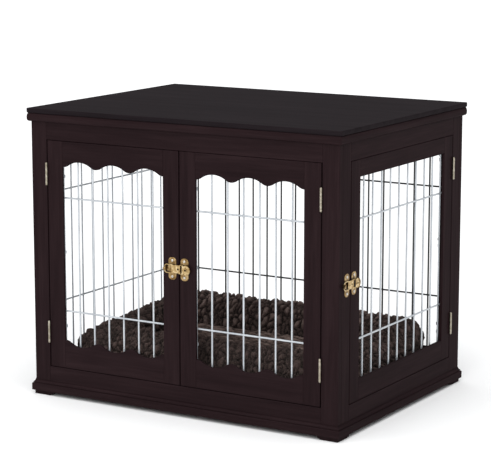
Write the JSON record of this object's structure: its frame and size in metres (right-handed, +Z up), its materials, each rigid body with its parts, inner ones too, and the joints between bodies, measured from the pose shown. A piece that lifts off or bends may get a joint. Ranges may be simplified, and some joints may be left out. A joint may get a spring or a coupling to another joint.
{
  "type": "dog crate",
  "caption": "Wooden cabinet dog crate with wire grille walls, scalloped double front doors, a single side door, toggle latches and a bolster bed inside.",
  "frame": {"origin": "on the floor, under the middle of the cabinet", "axes": "+Z up, +X to the cabinet's right seen from the pair of doors, which face -Y; the side door faces +X"},
  "size_m": [0.8374, 0.6374, 0.688],
  "materials": {
    "wood": "satin",
    "wire": "satin",
    "brass": "satin",
    "screw": "satin",
    "bolster": "matte",
    "cushion": "matte"
  },
  "bodies": {
    "cabinet": {"table_top": "wood", "top_moulding": "wood", "base_moulding": "wood", "feet": "wood", "front_left_stile": "wood", "front_right_stile": "wood", "front_top_rail": "wood", "front_bottom_rail": "wood", "back_left_stile": "wood", "back_right_stile": "wood", "back_top_rail": "wood", "back_bottom_rail": "wood", "right_front_stile": "wood", "right_rear_stile": "wood", "right_top_rail": "wood", "right_bottom_rail": "wood", "left_front_stile": "wood", "left_rear_stile": "wood", "left_top_rail": "wood", "left_bottom_rail": "wood", "floor_panel": "wood", "floor_battens": "wood", "left_grille": "wire", "back_grille": "wire", "hinge_frame_leaves": "brass", "hinge_pins": "brass", "frame_screws": "screw", "side_latch_hook_plate": "brass"},
    "front_left_door": {"front_left_lock_stile": "wood", "front_left_hinge_stile": "wood", "front_left_top_rail": "wood", "front_left_bottom_rail": "wood", "front_left_grille": "wire", "front_left_hinge_leaves": "brass", "front_left_door_screws": "screw", "front_latch_hook_plate": "brass"},
    "front_right_door": {"front_right_lock_stile": "wood", "front_right_hinge_stile": "wood", "front_right_top_rail": "wood", "front_right_bottom_rail": "wood", "front_right_grille": "wire", "front_right_hinge_leaves": "brass", "front_right_door_screws": "screw", "front_latch_base_plate": "brass", "front_latch_pin": "brass"},
    "side_door": {"side_lock_stile": "wood", "side_hinge_stile": "wood", "side_top_rail": "wood", "side_bottom_rail": "wood", "side_grille": "wire", "side_hinge_leaves": "brass", "side_door_screws": "screw", "side_latch_base_plate": "brass", "side_latch_pin": "brass"},
    "front_latch_lever": {"front_latch_lever": "brass"},
    "front_latch_bail": {"front_latch_bail": "brass"},
    "side_latch_lever": {"side_latch_lever": "brass"},
    "side_latch_bail": {"side_latch_bail": "brass"},
    "bed": {"bed_bolster": "bolster", "bed_cushion": "cushion"}
  },
  "joints": [
    {"name": "front_right_door_hinge", "type": "hinge", "parent": "cabinet", "child": "front_right_door", "pos_m": [0.366, -0.313, 0.343], "axis": [0, 0, 1], "range_deg": [0, 165]},
    {"name": "front_left_door_hinge", "type": "hinge", "parent": "cabinet", "child": "front_left_door", "pos_m": [-0.366, -0.313, 0.343], "axis": [0, 0, -1], "range_deg": [0, 165]},
    {"name": "side_door_hinge", "type": "hinge", "parent": "cabinet", "child": "side_door", "pos_m": [0.413, 0.257, 0.343], "axis": [0, 0, 1], "range_deg": [0, 165]},
    {"name": "front_latch_lever_pivot", "type": "hinge", "parent": "front_right_door", "child": "front_latch_lever", "pos_m": [0.009, -0.3125, 0.345], "axis": [0, 0, -1], "range_deg": [0, 105]},
    {"name": "front_latch_bail_pivot", "type": "hinge", "parent": "front_latch_lever", "child": "front_latch_bail", "pos_m": [0.012, -0.3142, 0.345], "axis": [0, 0, -1], "range_deg": [-105, 0]},
    {"name": "side_latch_lever_pivot", "type": "hinge", "parent": "side_door", "child": "side_latch_lever", "pos_m": [0.4125, -0.248, 0.345], "axis": [0, 0, -1], "range_deg": [0, 105]},
    {"name": "side_latch_bail_pivot", "type": "hinge", "parent": "side_latch_lever", "child": "side_latch_bail", "pos_m": [0.4142, -0.245, 0.345], "axis": [0, 0, -1], "range_deg": [-105, 0]},
    {"name": "bed_lift", "type": "slide", "parent": "cabinet", "child": "bed", "axis": [0, 0, 1], "range_m": [0, 0.15]}
  ],
  "couplings": [
    {"joint": "front_left_door_hinge", "follows": "front_right_door_hinge", "ratio": 1},
    {"joint": "front_latch_bail_pivot", "follows": "front_latch_lever_pivot", "ratio": -1},
    {"joint": "side_latch_bail_pivot", "follows": "side_latch_lever_pivot", "ratio": -1}
  ]
}
